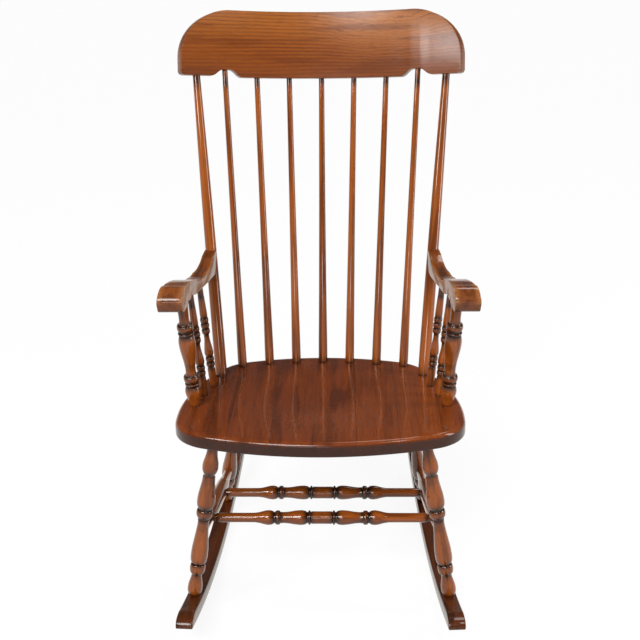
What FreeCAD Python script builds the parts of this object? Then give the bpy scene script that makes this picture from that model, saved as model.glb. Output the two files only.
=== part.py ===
import FreeCAD, Part
import math
import os

import Sketcher
from FreeCAD import Placement, Rotation, Vector

# A turned-leg rocking chair with a tall spindle back.
# It faces -Y, +Z is up, X = 0 is its mirror plane and Z = 0 the floor.
# Left and right are as seen from the front.

document = FreeCAD.newDocument("rocking_chair")
sizes = document.addObject("Spreadsheet::Sheet", "sizes")

dimensions = {
    # whole chair
    "rocker_span": 760,
    "rest_line": -48,
    # rockers
    "rocker_radius": 1310,
    "rocker_height": 24,
    "rocker_tip_height": 16,
    "rocker_width": 32,
    "rocker_tip_round": 9,
    "rocker_spacing": 467,
    "rocker_toe_in": 3.4,
    # seat
    "seat_front": -348,
    "seat_height": 408,
    "seat_slope": 2.2,
    "seat_thickness": 28,
    "seat_depth": 464,
    "seat_width": 544,
    "seat_widest": 152,
    "seat_front_radius": 606,
    "seat_side_radius": 495,
    "seat_rear_radius": 480,
    "seat_front_corner": 90,
    "seat_rear_corner": 92,
    "seat_edge_round": 9,
    "scoop_depth": 7,
    "scoop_width": 370,
    "scoop_centre": 215,
    # legs
    "front_leg_length": 337,
    "rear_leg_length": 355,
    "leg_girth": 34.5,
    "leg_top_tenon": 21,
    "leg_foot_tenon": 16,
    "leg_neck": 19.6,
    "leg_ankle": 17,
    # stretchers
    "side_stretcher_length": 369,
    "side_stretcher_girth": 30,
    "side_stretcher_tenon": 15,
    "cross_stretcher_length": 418,
    "cross_stretcher_girth": 29,
    "cross_stretcher_tenon": 14,
    # back
    "post_length": 642,
    "post_girth": 23.6,
    "post_foot": 20,
    "post_top": 15,
    "spindle_length": 632,
    "spindle_girth": 17.6,
    "spindle_foot": 15,
    "spindle_top": 11,
    "spindle_foot_pitch": 56,
    "spindle_top_pitch": 66,
    "back_socket_depth": 20,
    # crest rail
    "crest_height": 134,
    "crest_width": 562,
    "crest_thickness": 22,
    "crest_bend": 603,
    "crest_lean": 12.6,
    "crest_corner": 95,
    # arms
    "arm_length": 308,
    "arm_rise": 65,
    "arm_reach": 289,
    "arm_post_length": 267,
    "arm_post_girth": 30.5,
    "arm_post_foot": 19.5,
    "arm_post_top": 21,
    "arm_spindle_front_length": 256,
    "arm_spindle_rear_length": 246,
    "arm_spindle_girth": 16.6,
    "arm_spindle_foot": 12.5,
    "arm_spindle_top": 12,
    "arm_socket_depth": 16,
    # fasteners
    "screw_length": 48,
    "screw_shank": 4.2,
    "screw_head": 8,
    "plug_length": 5,
}

for row, (name, value) in enumerate(dimensions.items(), 1):
    sizes.set(f"A{row}", name)
    sizes.set(f"B{row}", str(value))
    sizes.setAlias(f"B{row}", name)
document.recompute()


def size(name):
    return float(getattr(sizes, name))


def share(name, value):
    """The sheet expression for a length that keeps its share of a driving dimension."""
    return f"sizes.{name} * {value / size(name):.6f}"


# Sketches


def origin_plane(body, role):
    return next(item for item in body.Origin.OriginFeatures if item.Role == role)


def new_sketch(body, name, role):
    sketch = body.newObject("Sketcher::SketchObject", name)
    sketch.AttachmentSupport = [(origin_plane(body, role), "")]
    sketch.MapMode = "FlatFace"
    return sketch


def edge_curve(start, end, bulge):
    """A line, or an arc that stands out by bulge on the right of start to end.

    Returns the curve and which of its ends is at start and at end.
    """
    if not bulge:
        return Part.LineSegment(start, end), (1, 2)
    chord = end - start
    outward = Vector(chord.y, -chord.x, 0).normalize()
    half = chord.Length / 2
    radius = (half * half + bulge * bulge) / (2 * abs(bulge))
    centre = (start + end) / 2 + outward * (bulge - math.copysign(radius, bulge))
    angles = [math.atan2(point.y - centre.y, point.x - centre.x) for point in (start, end)]
    circle = Part.Circle(centre, Vector(0, 0, 1), radius)
    if bulge > 0:
        return Part.ArcOfCircle(circle, angles[0], angles[1]), (1, 2)
    return Part.ArcOfCircle(circle, angles[1], angles[0]), (2, 1)


def draw_outline(sketch, corners, across, up):
    """Draws a closed outline, anticlockwise, with its sizes tied to the sheet.

    corners holds (x, y, bulge of the edge that follows); x keeps its share of
    the dimension across and y its share of the dimension up.
    """
    curves, ends = [], []
    for place, (x, y, bulge) in enumerate(corners):
        following = corners[(place + 1) % len(corners)]
        curve, order = edge_curve(Vector(x, y, 0), Vector(following[0], following[1], 0), bulge)
        curves.append(curve)
        ends.append(order)
    sketch.addGeometry(curves)
    constraints, expressions = [], []

    def tie(constraint, expression):
        constraints.append(constraint)
        expressions.append((len(constraints) - 1, expression))

    for place, (x, y, bulge) in enumerate(corners):
        start = ends[place][0]
        before = place - 1 if place else len(corners) - 1
        constraints.append(
            Sketcher.Constraint("Coincident", before, ends[before][1], place, start))
        if x:
            tie(Sketcher.Constraint("DistanceX", -1, 1, place, start, x), share(across, x))
        else:
            constraints.append(Sketcher.Constraint("PointOnObject", place, start, -2))
        if y:
            tie(Sketcher.Constraint("DistanceY", -1, 1, place, start, y), share(up, y))
        else:
            constraints.append(Sketcher.Constraint("PointOnObject", place, start, -1))
        if bulge:
            radius = curves[place].Radius
            tie(Sketcher.Constraint("Radius", place, radius), share(up, radius))
    sketch.addConstraint(constraints)
    for index, expression in expressions:
        sketch.setExpression(f"Constraints[{index}]", expression)


def mirror_outline(half):
    """Closes a right half, given from bottom to top, with its mirror image."""
    other = []
    for place in range(len(half) - 1, -1, -1):
        x, y = half[place][:2]
        other.append((-x, y, half[place - 1][2] if place else 0))
    return half + other


def pad_outline(name, role, corners, across, up, thickness, midplane=True):
    body = document.addObject("PartDesign::Body", name)
    sketch = new_sketch(body, name + "_outline", role)
    draw_outline(sketch, corners, across, up)
    pad = body.newObject("PartDesign::Pad", name + "_pad")
    pad.Profile = sketch
    pad.setExpression("Length", thickness)
    pad.Midplane = midplane
    body.Tip = pad
    return body


# Placing


def along(start, end, offset=0.0):
    """Stands a piece's own +Z on the line from start to end, offset below start."""
    direction = (end - start).normalize()
    return Placement(start - direction * offset, Rotation(Vector(0, 0, 1), direction))


def between(start, end, fraction):
    return start + (end - start) * fraction


def seat_top(y):
    slope = math.tan(math.radians(size("seat_slope")))
    return size("seat_height") - slope * (y - size("seat_front"))


def on_seat(x, y):
    return Vector(x, y, seat_top(y))


def under_seat(x, y):
    drop = size("seat_thickness") / math.cos(math.radians(size("seat_slope")))
    return Vector(x, y, seat_top(y) - drop)


def on_rocker(y, inward=0):
    """The middle of the right rocker's top edge at depth y, or a point inward of it."""
    lean = y - size("rest_line")
    toe = math.radians(size("rocker_toe_in"))
    run = lean / math.cos(toe)
    radius = size("rocker_radius")
    bottom = radius - math.sqrt(radius ** 2 - run ** 2)
    slant = math.cos(math.asin(run / radius))
    top = bottom + size("rocker_height") / slant
    return Vector(size("rocker_spacing") / 2 - lean * math.tan(toe) - inward, y, top)


def on_crest(across, up):
    """A point of the crest rail's middle layer, across along its bend."""
    bend, lean = size("crest_bend"), math.radians(size("crest_lean"))
    angle = across / bend
    depth = -bend * (1 - math.cos(angle))
    return crest_foot + Vector(
        bend * math.sin(angle),
        up * math.sin(lean) + depth * math.cos(lean),
        up * math.cos(lean) - depth * math.sin(lean),
    )


crest_foot = Vector(0, 199, 966)

# Turned pieces


def turned_body(name, stations, length, girth):
    """A lathe-turned piece that stands on its own +Z.

    stations holds (height, diameter, bulge of the stretch above it).
    """
    body = document.addObject("PartDesign::Body", name)
    sketch = new_sketch(body, name + "_profile", "XZ_Plane")
    profile = [(0, 0, 0)]
    profile += [(diameter / 2, height, bulge) for height, diameter, bulge in stations]
    profile.append((0, stations[-1][0], 0))
    draw_outline(sketch, profile, girth, length)
    turning = body.newObject("PartDesign::Revolution", name + "_turning")
    turning.Profile = sketch
    turning.ReferenceAxis = (sketch, ["V_Axis"])
    turning.Angle = 360
    body.Tip = turning
    return body


def drill(name, placement, diameter, depth):
    """A round cutter for a socket; diameter and depth are sheet expressions."""
    cutter = document.addObject("Part::Cylinder", name)
    cutter.setExpression("Radius", f"({diameter}) / 2")
    cutter.setExpression("Height", depth)
    cutter.Placement = placement
    return cutter


def cut(name, base, cutters):
    tool = cutters[0]
    if len(cutters) > 1:
        tool = document.addObject("Part::MultiFuse", name + "_cutters")
        tool.Shapes = cutters
    result = document.addObject("Part::Cut", name)
    result.Base = base
    result.Tool = tool
    return result


def mirror(name, source):
    result = document.addObject("Part::Mirroring", name)
    result.Source = source
    result.Normal = Vector(1, 0, 0)
    return result


pieces = {}


def keep(label, piece):
    piece.Label = label
    pieces[label] = piece


def keep_pair(stem, right):
    """Keeps a right-hand piece and its left-hand mirror image."""
    keep(stem.format("right"), right)
    keep(stem.format("left"), mirror(stem.format("left"), right))


# Where the joints are, on the right-hand side

front_leg_foot = on_rocker(-260.5, -2)
front_leg_head = under_seat(196, -266)
rear_leg_foot = on_rocker(135.5)
rear_leg_head = under_seat(173, 6)
post_foot = on_seat(207, 3)
post_head = on_crest(257, 6)
arm_post_foot = on_seat(241.5, -163)
arm_post_head = Vector(251.8, -202, 629)
arm_spindle_feet = {"front": on_seat(229, -112), "rear": on_seat(216, -62)}
arm_spindle_heads = {"front": Vector(244, -141, 622), "rear": Vector(233, -83, 613)}
stretcher_front = between(front_leg_foot, front_leg_head, 0.408)
stretcher_rear = between(rear_leg_foot, rear_leg_head, 0.288)
cross_front = between(stretcher_front, stretcher_rear, 0.22)
cross_rear = between(stretcher_front, stretcher_rear, 0.6)


def spindle_foot(number):
    across = abs(number) * size("spindle_foot_pitch")
    return on_seat(math.copysign(across, number), 84 - 0.00096 * across ** 2)


def spindle_head(number):
    return on_crest(number * size("spindle_top_pitch"), 18 if abs(number) == 3 else 1.5)


# Legs: ankle, small vase, ring, long vase, ring, swelling, groove, bulge, neck

foot_tenon, top_tenon = size("leg_foot_tenon"), size("leg_top_tenon")
leg_pattern = [
    (2, 17), (9, 26.6), (19, 28), (48.5, 20), (56, 29), (69, 29), (73.5, 26), (81, 31.6),
    (95, 32.4), (163, 21.4), (170, 21.4), (178, 30.4), (189, 30.8), (193, 27.4), (202, 33.6),
    (216, 34), (260, 23.6), (269, 23.4), (277, 30), (288, 30), (316, 19.6),
]
stretcher_depth = 3


def leg(name, foot, head, stretcher_end, other_end):
    run = (head - foot).Length
    stretch = run / size("front_leg_length")
    stations = [(0, 17, 0)]
    stations += [(foot_tenon + height * stretch, wide, 0) for height, wide in leg_pattern]
    stations.append((foot_tenon + run + top_tenon, 19.6, 0))
    body = turned_body(name + "_turned", stations, name + "_length", "leg_girth")
    body.Placement = along(foot, head, foot_tenon)
    socket = drill(
        name + "_socket", along(stretcher_end, other_end, stretcher_depth),
        "sizes.side_stretcher_tenon", "40")
    return cut(name, body, [socket])


keep_pair("front_leg_{}", leg(
    "front_leg", front_leg_foot, front_leg_head, stretcher_front, stretcher_rear))
keep_pair("rear_leg_{}", leg(
    "rear_leg", rear_leg_foot, rear_leg_head, stretcher_rear, stretcher_front))

# Side stretchers: slender ends, one long swelling in the middle

side_length = (stretcher_rear - stretcher_front).Length
side_pattern = [
    (-stretcher_depth, 15), (14, 15), (20, 17.6), (62, 18.8), (100, 27.4),
    (side_length * 0.37, 30), (side_length * 0.55, 30), (side_length - 100, 25.6),
    (side_length - 60, 18.6), (side_length - 20, 17.6), (side_length - 14, 15),
    (side_length + stretcher_depth, 15),
]
side_body = turned_body(
    "side_stretcher_turned",
    [(height + stretcher_depth, wide, 0) for height, wide in side_pattern],
    "side_stretcher_length", "side_stretcher_girth")
side_body.Placement = along(stretcher_front, stretcher_rear, stretcher_depth)
cross_sockets = [
    drill(f"cross_socket_{end}", along(point - Vector(2, 0, 0), point - Vector(30, 0, 0)),
          "sizes.cross_stretcher_tenon", "40")
    for end, point in (("front", cross_front), ("rear", cross_rear))
]
keep_pair("side_stretcher_{}", cut("side_stretcher", side_body, cross_sockets))

# Cross stretchers: a ringed middle between two bellies, beads and swells


def cross_stretcher(name, point):
    half = point.x - 2.5
    half_pattern = [
        (22.5, 24.8, 0), (24.5, 28.4, 0), (27.5, 28.4, 0), (30, 24.8, 0), (39, 29, 0),
        (50, 28, 0), (74, 21.8, 0), (79, 22.4, 0), (85, 28, 0), (90, 28, 0), (94, 24.4, 0),
        (100, 28.8, 0), (108, 28.4, 0), (130, 18.8, 0), (half - 24, 18.6, 0),
        (half - 18, 14, 0), (half, 14, 0),
    ]
    stations = [(half + along_x, wide, bulge) for along_x, wide, bulge in half_pattern]
    lower = []
    for place in range(len(half_pattern) - 1, -1, -1):
        along_x, wide = half_pattern[place][:2]
        lower.append((half - along_x, wide, half_pattern[place - 1][2] if place else 0))
    body = turned_body(
        name, lower + stations, "cross_stretcher_length", "cross_stretcher_girth")
    centre = Vector(0, point.y, point.z)
    body.Placement = along(centre - Vector(half, 0, 0), centre)
    return body


keep("cross_stretcher_front", cross_stretcher("cross_stretcher_front", cross_front))
keep("cross_stretcher_rear", cross_stretcher("cross_stretcher_rear", cross_rear))

# Rockers: a bent board, deepest between the legs, rounded at the tips

rocker_radius, rocker_height = size("rocker_radius"), size("rocker_height")
toe = math.radians(size("rocker_toe_in"))
half_span = size("rocker_span") / 2
corner_reach = size("rocker_width") / 2 * math.sin(toe)
front_run = (half_span + size("rest_line") - corner_reach) / math.cos(toe)
rear_run = (half_span - size("rest_line") - corner_reach) / math.cos(toe)


def arc_drop(run, radius):
    return radius - math.sqrt(radius ** 2 - run ** 2)


def arc_bulge(start, end, radius):
    chord = math.dist(start, end)
    return radius - math.sqrt(radius ** 2 - chord ** 2 / 4)


tip_height = size("rocker_tip_height")
front_tip = (-front_run, arc_drop(front_run, rocker_radius))
rear_tip = (rear_run, arc_drop(rear_run, rocker_radius))
top_radius = rocker_radius - rocker_height
front_shoulder = (-front_run * 0.9, rocker_height + arc_drop(front_run * 0.9, top_radius))
rear_shoulder = (rear_run * 0.9, rocker_height + arc_drop(rear_run * 0.9, top_radius))
rocker_outline = [
    (*front_tip, arc_bulge(front_tip, rear_tip, rocker_radius)),
    (*rear_tip, 0),
    (rear_tip[0] - 8, rear_tip[1] + tip_height, 0),
    (*rear_shoulder, -arc_bulge(front_shoulder, rear_shoulder, top_radius)),
    (*front_shoulder, 0),
    (front_tip[0] + 6, front_tip[1] + tip_height, 0),
]
rocker_body = pad_outline(
    "rocker_board", "YZ_Plane", rocker_outline, "rocker_span", "rocker_radius",
    "sizes.rocker_width")


def near(points, gap=0.5):
    """Picks the edges whose middle lies at one of the points."""
    def chosen(edge):
        middle = edge.valueAt((edge.FirstParameter + edge.LastParameter) / 2)
        return any(middle.distanceToPoint(point) < gap for point in points)
    return chosen


def level(height):
    """Picks the edges that lie at one height."""
    return lambda edge: all(abs(vertex.Z - height) < 0.01 for vertex in edge.Vertexes)


def round_edges(body, name, chosen, radius):
    """Rounds the chosen edges of a body that isn't placed yet."""
    document.recompute()
    base = body.Tip
    edges = [f"Edge{number}" for number, edge in enumerate(base.Shape.Edges, 1) if chosen(edge)]
    fillet = body.newObject("PartDesign::Fillet", name)
    fillet.Base = (base, edges)
    fillet.setExpression("Radius", radius)
    body.Tip = fillet


tip_corners = [Vector(0, y, z) for y, z, bulge in (rocker_outline[2], rocker_outline[5])]
round_edges(rocker_body, "rocker_tip_fillet", near(tip_corners), "sizes.rocker_tip_round")
rocker_body.Placement = Placement(
    Vector(size("rocker_spacing") / 2, size("rest_line"), 0),
    Rotation(Vector(0, 0, 1), size("rocker_toe_in")))
ankle_sockets = [
    drill(f"ankle_socket_{end}", along(foot, head, foot_tenon), "sizes.leg_ankle", "60")
    for end, foot, head in (
        ("front", front_leg_foot, front_leg_head), ("rear", rear_leg_foot, rear_leg_head))
]
keep_pair("rocker_{}", cut("rocker", rocker_body, ankle_sockets))

# Back posts and spindles: plain tapers, thickest near the seat

socket_depth = size("back_socket_depth")
post_pattern = [
    (0, 20, 0), (socket_depth + 4, 20, 0), (socket_depth + 9, 23.6, 0),
    (socket_depth + 330, 21.4, 0), (size("post_length") - 30, 15, 0),
    (size("post_length"), 15, 0),
]
post_body = turned_body("back_post_turned", post_pattern, "post_length", "post_girth")
post_body.Placement = along(post_foot, post_head, socket_depth)
screw_height = 630
screw_spot = between(
    post_foot, post_head, (screw_height - post_foot.z) / (post_head.z - post_foot.z))
screw_line = Placement(screw_spot + Vector(0, 11.5, 0), Rotation(Vector(0, 0, 1), Vector(0, -1, 0)))
crest_tilt = Rotation(Vector(1, 0, 0), -size("crest_lean"))
screw_hole = drill("screw_hole", screw_line, "sizes.screw_shank", "sizes.screw_length")
plug_hole = drill("plug_hole", screw_line, "sizes.screw_head", "sizes.plug_length + 3")
keep_pair("back_post_{}", cut("back_post", post_body, [screw_hole, plug_hole]))

spindle_pattern = [
    (0, 15, 0), (socket_depth + 3, 15, 0), (socket_depth + 9, 18.4, -0.8),
    (size("spindle_length") - 30, 11, 0), (size("spindle_length"), 11, 0),
]
spindle_lines = []
for number in range(-3, 4):
    spindle = turned_body(
        f"back_spindle_{number + 4}", spindle_pattern, "spindle_length", "spindle_girth")
    foot, head = spindle_foot(number), spindle_head(number)
    spindle.Placement = along(foot, head, socket_depth)
    spindle_lines.append((foot, head))
    keep(f"back_spindle_{number + 4}", spindle)

# Crest rail: a bent board, sawn to an outline with an ogee notch over each end spindle

crest_width, crest_height = size("crest_width"), size("crest_height")
end_corner = size("crest_corner")
half_crest = [
    (0, 1, 0), (163, 2, 0.9), (173.5, 9.6, -0.9), (184, 17.2, 0), (201, 17.2, -0.8),
    (211, 11, 0.8), (221, 5, 0), (crest_width / 2 - 7, 5, 2), (crest_width / 2, 12, 0),
    (crest_width / 2, crest_height - end_corner, end_corner * (1 - math.sqrt(0.5))),
    (crest_width / 2 - end_corner, crest_height, 0), (0, crest_height, 0),
]
crest_outline = mirror_outline(half_crest)
crest_outline = [corner for place, corner in enumerate(crest_outline)
                 if place not in (len(half_crest), len(crest_outline) - 1)]
crest_board = pad_outline(
    "crest_sawn_outline", "XZ_Plane", crest_outline, "crest_width", "crest_height", "300")

bend, thickness = size("crest_bend"), size("crest_thickness")
band_half = crest_width / 2 + 12
outer_radius, inner_radius = bend + thickness / 2, bend - thickness / 2
outer_end = (band_half, thickness / 2 - arc_drop(band_half, outer_radius))
inner_end = (band_half, -thickness / 2 - arc_drop(band_half, inner_radius))
band_outline = [
    (-inner_end[0], inner_end[1], -arc_drop(band_half, inner_radius)),
    (*inner_end, 0),
    (*outer_end, arc_drop(band_half, outer_radius)),
    (-outer_end[0], outer_end[1], 0),
]
crest_band = pad_outline(
    "crest_bent_board", "XY_Plane", band_outline, "crest_width", "crest_bend",
    "sizes.crest_height * 2.2")
crest_blank = document.addObject("Part::Common", "crest_blank")
crest_blank.Base = crest_board
crest_blank.Tool = crest_band
crest_board.Placement = crest_band.Placement = Placement(crest_foot, crest_tilt)
crest_sockets = [
    drill(f"spindle_top_socket_{number}", along(foot, head, -(head - foot).Length + 20),
          "sizes.spindle_top",
          f"sizes.spindle_length - sizes.back_socket_depth - {(head - foot).Length - 21:.3f}")
    for number, (foot, head) in enumerate(spindle_lines, 1)
]
post_run = (post_head - post_foot).Length
post_top_sockets = []
for side in (1, -1):
    foot = Vector(side * post_foot.x, post_foot.y, post_foot.z)
    head = Vector(side * post_head.x, post_head.y, post_head.z)
    post_top_sockets.append(drill(
        f"post_top_socket_{'right' if side > 0 else 'left'}", along(foot, head, 20 - post_run),
        "sizes.post_top", f"sizes.post_length - sizes.back_socket_depth - {post_run - 21:.3f}"))
keep("crest_rail", cut("crest_rail", crest_blank, crest_sockets + post_top_sockets))

# Arm posts and arm spindles

arm_depth = size("arm_socket_depth")
arm_post_pattern = [
    (0, 19.5, 0), (24, 19.5, 0), (44, 29.4, 0), (53, 29, 0), (63, 23.6, 0), (66, 27, 0),
    (70, 27, 0), (74, 22.4, 0), (82, 26.4, 0), (92, 19.2, 0), (100, 19.2, 0), (146, 30.2, 0),
    (160, 30.2, 0), (171, 25, 0), (174, 28.4, 0), (178, 28.4, 0), (183, 22.6, 0),
    (187, 29.2, 0), (193, 29.2, 0), (202, 19, 0), (213, 18.6, 0), (238, 21, 0),
    (size("arm_post_length"), 21, 0),
]
arm_post = turned_body("arm_post_turned", arm_post_pattern, "arm_post_length", "arm_post_girth")
arm_post.Placement = along(arm_post_foot, arm_post_head, arm_depth)
keep_pair("arm_post_{}", arm_post)

arm_spindle_pattern = [
    (0, 12.5, 0), (24, 12.5, 0), (58, 14.4, 0), (63, 12.4, 0), (67.5, 16.4, 0), (72, 12.4, 0),
    (76.5, 16.4, 0), (81, 12.6, 0), (90, 17.4, 0), (100, 17, 0), (126, 10.8, 0), (135, 12.2, 0),
    (140, 16, 0), (145, 12.2, 0), (150, 16, 0), (155, 12.2, 0), (160, 16.2, 0), (166, 14.4, 0),
    (200, 12, 0),
]
for end in ("front", "rear"):
    length = f"arm_spindle_{end}_length"
    spindle = turned_body(
        f"arm_spindle_{end}", arm_spindle_pattern + [(size(length), 12, 0)], length,
        "arm_spindle_girth")
    spindle.Placement = along(arm_spindle_feet[end], arm_spindle_heads[end], arm_depth)
    keep_pair("arm_spindle_{}_" + end, spindle)

# Arms: sawn to a dipping side profile, then to a plan that sweeps outwards to the rolled front

arm_rear, arm_floor = 52, 597
arm_profile = [
    (6, 4.5, 0), (70, 9.5, 0.5), (190, 22, 1.5), (232, 34, 4), (262, 33, 3), (272, 25, 0),
    (299, 24, 3.5), (309, 34, 4.5), (305, 56, 5), (276, 65.5, 3.5), (196, 51, -3.2),
    (132, 33.5, -2), (96, 33, -5), (24, 45, 0.5), (-5, 49, 0),
]
arm_side = pad_outline(
    "arm_side_cut", "YZ_Plane", arm_profile, "arm_length", "arm_rise", "400")
arm_plan = [
    (213, -8, 0), (236, -8, -2), (258, 140, -2), (289, 312, 3), (244, 318, 2), (227, 140, 1),
]
arm_sweep = pad_outline(
    "arm_plan_cut", "XY_Plane", arm_plan, "arm_reach", "arm_length", "400")
facing = Rotation(Vector(0, 0, 1), 180)
arm_side.Placement = Placement(Vector(250, arm_rear, arm_floor), facing)
arm_sweep.Placement = Placement(Vector(0, arm_rear, arm_floor), Rotation(Vector(0, 1, 0), 180) * facing)
arm_blank = document.addObject("Part::Common", "arm_blank")
arm_blank.Base = arm_side
arm_blank.Tool = arm_sweep
arm_cutters = [
    drill("arm_post_socket", along(arm_post_foot, arm_post_head, -200),
          "sizes.arm_post_top", "sizes.arm_post_length - sizes.arm_socket_depth - 199"),
]
for end in ("front", "rear"):
    arm_cutters.append(drill(
        f"arm_spindle_socket_{end}", along(arm_spindle_feet[end], arm_spindle_heads[end], -180),
        "sizes.arm_spindle_top",
        f"sizes.arm_spindle_{end}_length - sizes.arm_socket_depth - 179"))
arm_cutters.append(screw_hole)
arm = cut("arm", cut("arm_coped", arm_blank, [post_body]), arm_cutters)
keep_pair("arm_{}", arm)

# Seat: a glued-up blank with a curved plan, a shallow scoop and rounded edges

front_radius, rear_radius = size("seat_front_radius"), size("seat_rear_radius")
side_radius, seat_depth = size("seat_side_radius"), size("seat_depth")
front_centre = Vector(0, front_radius, 0)
rear_centre = Vector(0, seat_depth - rear_radius, 0)
side_centre = Vector(size("seat_width") / 2 - side_radius, size("seat_widest"), 0)


def meeting_point(centre, radius, other_centre, other_radius, sign):
    """Where two circles cross, on the side of their centre line that sign gives."""
    line = other_centre - centre
    reach = (radius ** 2 - other_radius ** 2 + line.Length ** 2) / (2 * line.Length)
    height = math.sqrt(radius ** 2 - reach ** 2)
    line.normalize()
    return centre + line * reach + Vector(-line.y, line.x, 0) * (sign * height)


corners = {}
for stem, centre, radius, sign in (
        ("front", front_centre, front_radius, -1), ("rear", rear_centre, rear_radius, 1)):
    corner_radius = size(f"seat_{stem}_corner")
    corner_centre = meeting_point(
        side_centre, side_radius - corner_radius, centre, radius - corner_radius, sign)
    end = centre + (corner_centre - centre).normalize() * radius
    side = side_centre + (corner_centre - side_centre).normalize() * side_radius
    corners[stem] = (end, side, corner_radius)


def bulge_between(start, end, radius):
    return arc_bulge((start.x, start.y), (end.x, end.y), radius)


front_end, front_side, front_round = corners["front"]
rear_end, rear_side, rear_round = corners["rear"]
seat_outline = mirror_outline([
    (front_end.x, front_end.y, bulge_between(front_end, front_side, front_round)),
    (front_side.x, front_side.y, bulge_between(front_side, rear_side, side_radius)),
    (rear_side.x, rear_side.y, bulge_between(rear_side, rear_end, rear_round)),
    (rear_end.x, rear_end.y, arc_bulge((-rear_end.x, 0), (rear_end.x, 0), rear_radius)),
])
seat_outline[-1] = (*seat_outline[-1][:2], arc_bulge((-front_end.x, 0), (front_end.x, 0), front_radius))
seat_body = pad_outline(
    "seat_blank", "XY_Plane", seat_outline, "seat_width", "seat_depth",
    "sizes.seat_thickness", midplane=False)
seat_body.Tip.Reversed = True
round_edges(seat_body, "seat_top_edge", level(0), "sizes.seat_edge_round")

scoop_radius = (size("scoop_width") ** 2 / 4 + size("scoop_depth") ** 2) / 2 / size("scoop_depth")
scoop = document.addObject("Part::Sphere", "scoop")
scoop.setExpression(
    "Radius",
    "(sizes.scoop_width * sizes.scoop_width / 4 + sizes.scoop_depth * sizes.scoop_depth)"
    " / (2 * sizes.scoop_depth)")
scoop.Angle2 = -60
seat_tilt = Placement(
    Vector(0, size("seat_front"), size("seat_height")),
    Rotation(Vector(1, 0, 0), -size("seat_slope")))
seat_body.Placement = seat_tilt
scoop.Placement = seat_tilt * Placement(
    Vector(0, size("scoop_centre"), scoop_radius - size("scoop_depth")), Rotation())
seat_cutters = [scoop]
for side in (1, -1):
    hand = "right" if side > 0 else "left"

    def across(point):
        return Vector(side * point.x, point.y, point.z)

    for stem, foot, head in (
            ("front_leg", front_leg_foot, front_leg_head), ("rear_leg", rear_leg_foot, rear_leg_head)):
        run = (head - foot).Length
        seat_cutters.append(drill(
            f"{stem}_socket_{hand}", along(across(foot), across(head), 15 - run),
            "sizes.leg_neck", "sizes.leg_top_tenon + 15"))
    for stem, foot, head, diameter, depth in (
            ("post", post_foot, post_head, "sizes.post_foot", "back_socket_depth"),
            ("arm_post", arm_post_foot, arm_post_head, "sizes.arm_post_foot", "arm_socket_depth"),
            ("front_arm_spindle", arm_spindle_feet["front"], arm_spindle_heads["front"],
             "sizes.arm_spindle_foot", "arm_socket_depth"),
            ("rear_arm_spindle", arm_spindle_feet["rear"], arm_spindle_heads["rear"],
             "sizes.arm_spindle_foot", "arm_socket_depth")):
        seat_cutters.append(drill(
            f"{stem}_foot_socket_{hand}", along(across(foot), across(head), size(depth)),
            diameter, f"sizes.{depth} + 15"))
for number, (foot, head) in enumerate(spindle_lines, 1):
    seat_cutters.append(drill(
        f"spindle_foot_socket_{number}", along(foot, head, socket_depth),
        "sizes.spindle_foot", "sizes.back_socket_depth + 15"))
keep("seat", cut("seat", seat_body, seat_cutters))

# Fasteners: a plugged screw from behind each post into the arm


def pair(label, right):
    both = document.addObject("Part::Compound", label)
    both.Links = [right, mirror(label + "_mirrored", right)]
    keep(label, both)


plug = document.addObject("Part::Cylinder", "plug")
plug.setExpression("Radius", "sizes.screw_head / 2")
plug.setExpression("Height", "sizes.plug_length")
plug.Placement = screw_line
pair("arm_screw_plugs", plug)

screw_start = screw_line * Placement(Vector(0, 0, size("plug_length")), Rotation())
head = document.addObject("Part::Cone", "screw_cone")
head.setExpression("Radius1", "sizes.screw_head / 2")
head.setExpression("Radius2", "sizes.screw_shank / 2")
head.Height = 3
head.Placement = screw_start
shank = drill("screw_body", screw_start, "sizes.screw_shank", "sizes.screw_length - sizes.plug_length")
screw = document.addObject("Part::Fuse", "screw")
screw.Base = head
screw.Tool = shank
pair("arm_screws", screw)

# Checks and files

document.recompute()
for item in document.Objects:
    if "Invalid" in item.State or "Error" in item.State:
        raise RuntimeError(f"{item.Name} did not build: {item.State}")
for label, piece in pieces.items():
    shape = piece.Shape
    if shape.isNull() or not shape.isValid() or not shape.Solids:
        raise RuntimeError(f"{label} has no valid solid")

os.makedirs("parts", exist_ok=True)
for label, piece in pieces.items():
    piece.Shape.exportStep(f"parts/{label}.step")
print(len(pieces), "pieces written")
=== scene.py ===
import math

import bmesh
import bpy
from mathutils import Matrix, Vector


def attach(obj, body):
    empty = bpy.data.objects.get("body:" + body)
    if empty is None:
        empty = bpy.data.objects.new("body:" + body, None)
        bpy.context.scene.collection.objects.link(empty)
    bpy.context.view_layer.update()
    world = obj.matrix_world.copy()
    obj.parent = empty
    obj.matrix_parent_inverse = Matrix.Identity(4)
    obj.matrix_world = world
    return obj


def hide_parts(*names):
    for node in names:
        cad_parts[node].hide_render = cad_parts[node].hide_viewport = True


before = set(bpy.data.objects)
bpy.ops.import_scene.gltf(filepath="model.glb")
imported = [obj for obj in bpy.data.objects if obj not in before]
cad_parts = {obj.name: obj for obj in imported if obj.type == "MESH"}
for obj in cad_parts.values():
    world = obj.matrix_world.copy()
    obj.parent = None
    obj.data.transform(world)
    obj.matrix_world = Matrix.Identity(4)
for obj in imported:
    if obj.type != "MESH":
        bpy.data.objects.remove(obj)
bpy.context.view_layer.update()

# A stained and lacquered rocking chair with a tall spindle back.
# Metres, X to the right, -Y to the front, Z up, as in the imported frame.

print("frame loaded:", len(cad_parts), "nodes")


def mm(*values):
    return Vector([value / 1000 for value in values])


def blend(low, high, share):
    return low + (high - low) * share


def eased(share):
    share = min(1.0, max(0.0, share))
    return share * share * (3 - 2 * share)


# shader helpers: sums on sockets written as plain Python


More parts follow.
